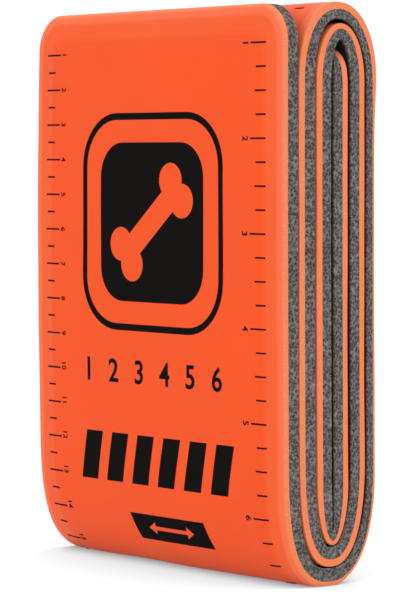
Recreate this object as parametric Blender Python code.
"""Aluminium foam splint, rolled flat into six runs and standing on its bottom fold.

Frame: metres, +Z up. The front run faces -Y, and the strip's width lies along X.
Origin: under the middle of the roll, on the surface it stands on.

Each layer is cut flat, as the real strip is, and is then folded along one fold line, which is
the glue line between the two foams seen from the side. The strip's length decides how tall the
roll stands.
"""

import bmesh
import bpy
import numpy as np

# Sizes of the strip laid flat
STRIP_LENGTH = 0.910
STRIP_WIDTH = 0.108
FRONT_CORNER_RADIUS = 0.010
INNER_CORNER_RADIUS = 0.0065
ORANGE_THICKNESS = 0.0018
GREY_THICKNESS = 0.0035
CORE_THICKNESS = 0.0004
CORE_MARGIN = 0.006
ORANGE_EDGE_ROUND = 0.0012
GREY_EDGE_ROUND = 0.0004

# Clearances: the glue line, and the air between two runs that lie against each other
GLUE_GAP = 0.0003
LAYER_GAP = 0.00033

# How the roll stands: its runs lean and bow a little, most at its left side, and its foot is set
# back and pressed flat
STACK_LEAN = 0.0020
STACK_BOW = 0.0003
LEFT_SIDE_BOW = 0.0013
FOOT_SET_BACK = -0.0006
FOOT_HEIGHT = 0.030
FOOT_SQUASH = 0.0005
FOOT_PRESS = 0.0005
FOOT_PRESS_REACH = 0.0025

# Where the strip's two free ends lie
FRONT_END_DROP = 0.0008
INNER_END_DROP = 0.0050
INNER_END_NUDGE = 0.0010
PINCH_LENGTH = 0.009
PINCHED_GREY = 0.32

# How finely the layers are divided
CORNER_STEPS = 6
EDGE_STEPS = 2
RUN_STEPS = 5
FOLD_STEPS = 20
MERGE_DISTANCE = 0.00001

# The six runs of the roll, front to back
# columns: run, gap in front of it (of LAYER_GAP), its grey foam (of GREY_THICKNESS), orange side
RUNS = (
    ("a", 0.0, 1.00, "front"),
    ("b", 1.0, 0.94, "front"),
    ("c", 2.7, 0.97, "front"),
    ("d", 1.8, 0.85, "back"),
    ("e", 1.8, 0.98, "back"),
    ("f", 1.0, 0.70, "back"),
)

# The five folds, in the strip's order from its front end
# columns: run before, run after, end of the roll, reach (of the fold's half width), squareness
# in front, squareness behind, orange at the crown (of ORANGE_THICKNESS), grey at the crown
# (of GREY_THICKNESS), gap outside the crown (of LAYER_GAP)
FOLDS = (
    ("a", "f", "bottom", 2.00, 2.62, 2.35, 1.00, 0.92, 0.0),
    ("f", "b", "top", 1.65, 2.25, 2.12, 1.00, 0.70, 0.0),
    ("b", "e", "bottom", 2.70, 2.55, 2.25, 1.00, 0.92, 1.2),
    ("e", "c", "top", 2.15, 2.05, 2.05, 0.70, 0.76, 3.6),
    ("c", "d", "bottom", 4.20, 2.05, 1.90, 0.50, 0.86, 1.5),
)

# Finishes: name, base colour, roughness, metallic
FINISHES = {
    "orange_foam": ((0.95, 0.14, 0.025), 0.55, 0.0),
    "grey_foam": ((0.10, 0.095, 0.09), 0.90, 0.0),
    "aluminium_core": ((0.80, 0.80, 0.81), 0.35, 1.0),
}


def remove_objects():
    for thing in list(bpy.data.objects):
        bpy.data.objects.remove(thing, do_unlink=True)


def run_places():
    """Place of each run's fold line from front to back, and the depth of the whole stack."""
    places = {}
    face = 0.0
    for name, gap, grey, orange_side in RUNS:
        face += gap * LAYER_GAP
        skin = ORANGE_THICKNESS + GLUE_GAP / 2
        pad = grey * GREY_THICKNESS + GLUE_GAP / 2
        places[name] = face + (skin if orange_side == "front" else pad)
        face += skin + pad
    return places, face


def crown_heights(height):
    """Height of the fold line at each fold's crown, from the outermost fold of each end inwards."""
    heights = {}
    bottom = -FOOT_SQUASH
    top = height
    for before, after, end, reach, front, behind, orange, grey, gap in FOLDS:
        outside = gap * LAYER_GAP + orange * ORANGE_THICKNESS + GLUE_GAP / 2
        inside = grey * GREY_THICKNESS + GLUE_GAP / 2
        if end == "bottom":
            heights[before + after] = bottom + outside
            bottom += outside + inside
        else:
            heights[before + after] = top - outside
            top -= outside + inside
    return heights


def stack_shift(z, height):
    """How far back the leaning, slightly bowed stack lies at height z."""
    rise = min(max(z / height, 0.0), 1.0)
    foot = max(1.0 - z / FOOT_HEIGHT, 0.0) ** 2
    return STACK_LEAN * (0.5 - rise) - 4.0 * STACK_BOW * rise * (1.0 - rise) + FOOT_SET_BACK * foot


def side_bow(x, z, height):
    """How far forward the stack bows at x, from nothing at its right side to most at its left."""
    rise = min(max(z / height, 0.0), 1.0)
    return 4.0 * LEFT_SIDE_BOW * (0.5 - x / STRIP_WIDTH) * rise * (1.0 - rise)


def run_points(place, grey, start, end):
    """Points along one run, which is straight until the stack leans."""
    heights = np.linspace(start, end, RUN_STEPS + 1)
    return [{"y": place, "z": z, "orange": 1.0, "grey": grey} for z in heights]


def fold_points(fold, places, greys, crown, spring):
    """Points round one fold, which is half of a slightly squared ellipse.

    Each point keeps the fold's middle and crown, which the grey foam inside must not pass.
    """
    before, after, end, reach, front, behind, orange, grey, gap = fold
    middle = (places[before] + places[after]) / 2
    half_width = (places[after] - places[before]) / 2
    points = []
    for step in range(1, FOLD_STEPS):
        turn = np.pi * step / FOLD_STEPS
        lean = 0.0 if 2 * step == FOLD_STEPS else np.cos(turn)
        share = np.sin(turn) ** 2
        run_grey = greys[before] if lean > 0.0 else greys[after]
        squareness = front if lean * half_width > 0.0 else behind
        points.append({
            "y": middle - half_width * np.sign(lean) * abs(lean) ** (2.0 / squareness),
            "z": spring + (crown - spring) * np.sin(turn) ** (2.0 / squareness),
            "orange": 1.0 + (orange - 1.0) * share,
            "grey": run_grey + (grey - run_grey) * share,
            "side": -np.sign(lean * half_width),
            "middle": middle,
            "crown": crown,
            "inwards": np.sign(spring - crown),
        })
    return points


def fold_line(height):
    """The fold line from the front free end to the inner one, as one array for each column."""
    places, depth = run_places()
    greys = {name: grey for name, gap, grey, orange_side in RUNS}
    crowns = crown_heights(height)
    points = []
    start = height - FRONT_END_DROP
    for fold in FOLDS:
        before, after, end, reach = fold[:4]
        crown = crowns[before + after]
        reach_height = reach * abs(places[after] - places[before]) / 2
        spring = crown + reach_height if end == "bottom" else crown - reach_height
        points += run_points(places[before], greys[before], start, spring)
        points += fold_points(fold, places, greys, crown, spring)
        start = spring
    last_run = FOLDS[-1][1]
    innermost_top = [fold for fold in FOLDS if fold[2] == "top"][-1]
    tip = crowns[innermost_top[0] + innermost_top[1]] - INNER_END_DROP
    points += run_points(places[last_run], greys[last_run], start, tip - PINCH_LENGTH)
    points.append({"y": places[last_run] - INNER_END_NUDGE, "z": tip,
                   "orange": 1.0, "grey": PINCHED_GREY})
    columns = ("y", "z", "orange", "grey", "side", "middle", "crown", "inwards")
    line = {name: np.array([point.get(name, 0.0) for point in points]) for name in columns}
    shift = np.array([stack_shift(z, height) for z in line["z"]]) - depth / 2
    line["y"] = line["y"] + shift
    line["middle"] = line["middle"] + shift
    line["along"] = np.concatenate([[0.0], np.cumsum(np.hypot(np.diff(line["y"]), np.diff(line["z"])))])
    return line


def roll_height():
    """Height at which the runs and folds use up the strip's whole length."""
    height = STRIP_LENGTH / len(RUNS)
    for _ in range(8):
        height += (STRIP_LENGTH - fold_line(height)["along"][-1]) / len(RUNS)
    return height


def orange_offset(depth, line, at):
    return GLUE_GAP / 2 + depth * at("orange")


def grey_offset(depth, line, at):
    """Grey foam is squeezed in the roll, but the pocket under the aluminium keeps its depth."""
    pocket = CORE_THICKNESS + GLUE_GAP
    squeeze = (at("grey") * GREY_THICKNESS - pocket) / (GREY_THICKNESS - pocket)
    depth = depth if depth <= pocket else pocket + (depth - pocket) * squeeze
    return -GLUE_GAP / 2 - depth


def core_offset(depth, line, at):
    return -GLUE_GAP / 2 - depth


def fold_up(flat, line, height, offset_of):
    """Carries each point of a flat layer to its place in the roll.

    In the flat layer x is across the strip, y runs along it, and z is the depth from the glue line.
    """
    heading_y = np.gradient(line["y"], line["along"])
    heading_z = np.gradient(line["z"], line["along"])
    length = np.hypot(heading_y, heading_z)
    line = dict(line, out_y=heading_z / length, out_z=-heading_y / length)
    for vertex in flat.verts:
        x, distance, depth = vertex.co

        def at(name):
            return float(np.interp(distance, line["along"], line[name]))

        offset = offset_of(depth, line, at)
        y = at("y") + offset * at("out_y")
        z = at("z") + offset * at("out_z")
        side = at("side")
        if offset < 0.0 and abs(side) > 0.999:
            clear = at("middle") + side * LAYER_GAP
            y = max(y, clear) if side > 0.0 else min(y, clear)
            inner_crown = at("crown") - at("inwards") * offset
            z = max(z, inner_crown) if at("inwards") > 0.0 else min(z, inner_crown)
        vertex.co = (x, y - side_bow(x, z, height), z)
    bmesh.ops.remove_doubles(flat, verts=flat.verts, dist=MERGE_DISTANCE)


def press_foot(layer):
    """Presses the foot down, so that it widens and stands flat on its surface."""
    flat_below = FOOT_PRESS / (1.0 + FOOT_PRESS / FOOT_PRESS_REACH)
    bmesh.ops.bisect_plane(layer, geom=layer.verts[:] + layer.edges[:] + layer.faces[:],
                           dist=MERGE_DISTANCE, plane_co=(0.0, 0.0, flat_below),
                           plane_no=(0.0, 0.0, 1.0))
    for vertex in layer.verts:
        pressed = vertex.co.z - FOOT_PRESS * max(1.0 - vertex.co.z / FOOT_PRESS_REACH, 0.0)
        vertex.co.z = pressed if pressed > MERGE_DISTANCE else 0.0


def face_at(flat, depth):
    """The flat layer's big face at the given depth."""
    faces = [face for face in flat.faces if abs(face.normal.z) > 0.9]
    return min(faces, key=lambda face: abs(face.calc_center_median().z - depth))


def cut_layer(inset, thickness, edge_round):
    """A flat layer of the strip with round corners; inset from the strip's edge on all sides.

    Its glued face is at z = 0, and the rim of its other face is rounded.
    """
    flat = bmesh.new()
    bmesh.ops.create_cube(flat, size=1.0)
    bmesh.ops.translate(flat, vec=(0.0, 0.5, 0.5), verts=flat.verts)
    size = (STRIP_WIDTH - 2 * inset, STRIP_LENGTH - 2 * inset, thickness)
    bmesh.ops.scale(flat, vec=size, verts=flat.verts)
    bmesh.ops.translate(flat, vec=(0.0, inset, 0.0), verts=flat.verts)
    corners = [edge for edge in flat.edges if abs(edge.verts[0].co.z - edge.verts[1].co.z) > thickness / 2]
    front = [edge for edge in corners if edge.verts[0].co.y < STRIP_LENGTH / 2]
    inner = [edge for edge in corners if edge.verts[0].co.y > STRIP_LENGTH / 2]
    for edges, radius in ((front, FRONT_CORNER_RADIUS), (inner, INNER_CORNER_RADIUS)):
        bmesh.ops.bevel(flat, geom=edges, offset=radius - inset, segments=CORNER_STEPS,
                        profile=0.5, affect="EDGES")
    if edge_round > 0.0:
        flat.normal_update()
        rim = list(face_at(flat, thickness).edges)
        bmesh.ops.bevel(flat, geom=rim, offset=edge_round, segments=EDGE_STEPS,
                        profile=0.5, affect="EDGES")
    flat.normal_update()
    return flat


def press_pocket(flat, margin, depth):
    """A shallow pocket in the glued face, where the aluminium lies."""
    floor = face_at(flat, 0.0)
    bmesh.ops.inset_region(flat, faces=[floor], thickness=margin, use_even_offset=True)
    pressed = bmesh.ops.extrude_discrete_faces(flat, faces=[floor])["faces"][0]
    bmesh.ops.translate(flat, vec=(0.0, 0.0, depth), verts=pressed.verts)
    flat.normal_update()


def crease(flat, line):
    """Cuts the flat layer across at every point of the fold line, so that it can be folded there."""
    for distance in line["along"][1:-1]:
        bmesh.ops.bisect_plane(flat, geom=flat.verts[:] + flat.edges[:] + flat.faces[:],
                               dist=MERGE_DISTANCE, plane_co=(0.0, distance, 0.0),
                               plane_no=(0.0, 1.0, 0.0))


def finish_material(name):
    colour, roughness, metallic = FINISHES[name]
    material = bpy.data.materials.new(name)
    material.use_nodes = True
    shader = material.node_tree.nodes["Principled BSDF"]
    shader.inputs["Base Color"].default_value = (*colour, 1.0)
    shader.inputs["Roughness"].default_value = roughness
    shader.inputs["Metallic"].default_value = metallic
    return material


def add_layer(name, flat, line, height, offset_of, collection):
    crease(flat, line)
    fold_up(flat, line, height, offset_of)
    press_foot(flat)
    bmesh.ops.triangulate(flat, faces=flat.faces)
    bmesh.ops.recalc_face_normals(flat, faces=flat.faces)
    mesh = bpy.data.meshes.new(name)
    flat.to_mesh(mesh)
    flat.free()
    mesh.shade_smooth()
    mesh.set_sharp_from_angle(angle=np.radians(40.0))
    layer = bpy.data.objects.new(name, mesh)
    layer.data.materials.append(finish_material(name))
    collection.objects.link(layer)
    return layer


def centre_roll(layers):
    """Moves all layers together so that the roll's depth is centred on the origin."""
    places = [vertex.co.y for layer in layers for vertex in layer.data.vertices]
    middle = (min(places) + max(places)) / 2
    for layer in layers:
        for vertex in layer.data.vertices:
            vertex.co.y -= middle


def build_splint():
    remove_objects()
    collection = bpy.data.collections.new("aluminium_foam_splint")
    bpy.context.scene.collection.children.link(collection)
    height = roll_height()
    line = fold_line(height)

    orange = cut_layer(0.0, ORANGE_THICKNESS, ORANGE_EDGE_ROUND)
    grey = cut_layer(0.0, GREY_THICKNESS, GREY_EDGE_ROUND)
    press_pocket(grey, CORE_MARGIN, CORE_THICKNESS + GLUE_GAP)
    core = cut_layer(CORE_MARGIN + GLUE_GAP, CORE_THICKNESS, 0.0)

    layers = [
        add_layer("orange_foam", orange, line, height, orange_offset, collection),
        add_layer("grey_foam", grey, line, height, grey_offset, collection),
        add_layer("aluminium_core", core, line, height, core_offset, collection),
    ]
    centre_roll(layers)


build_splint()
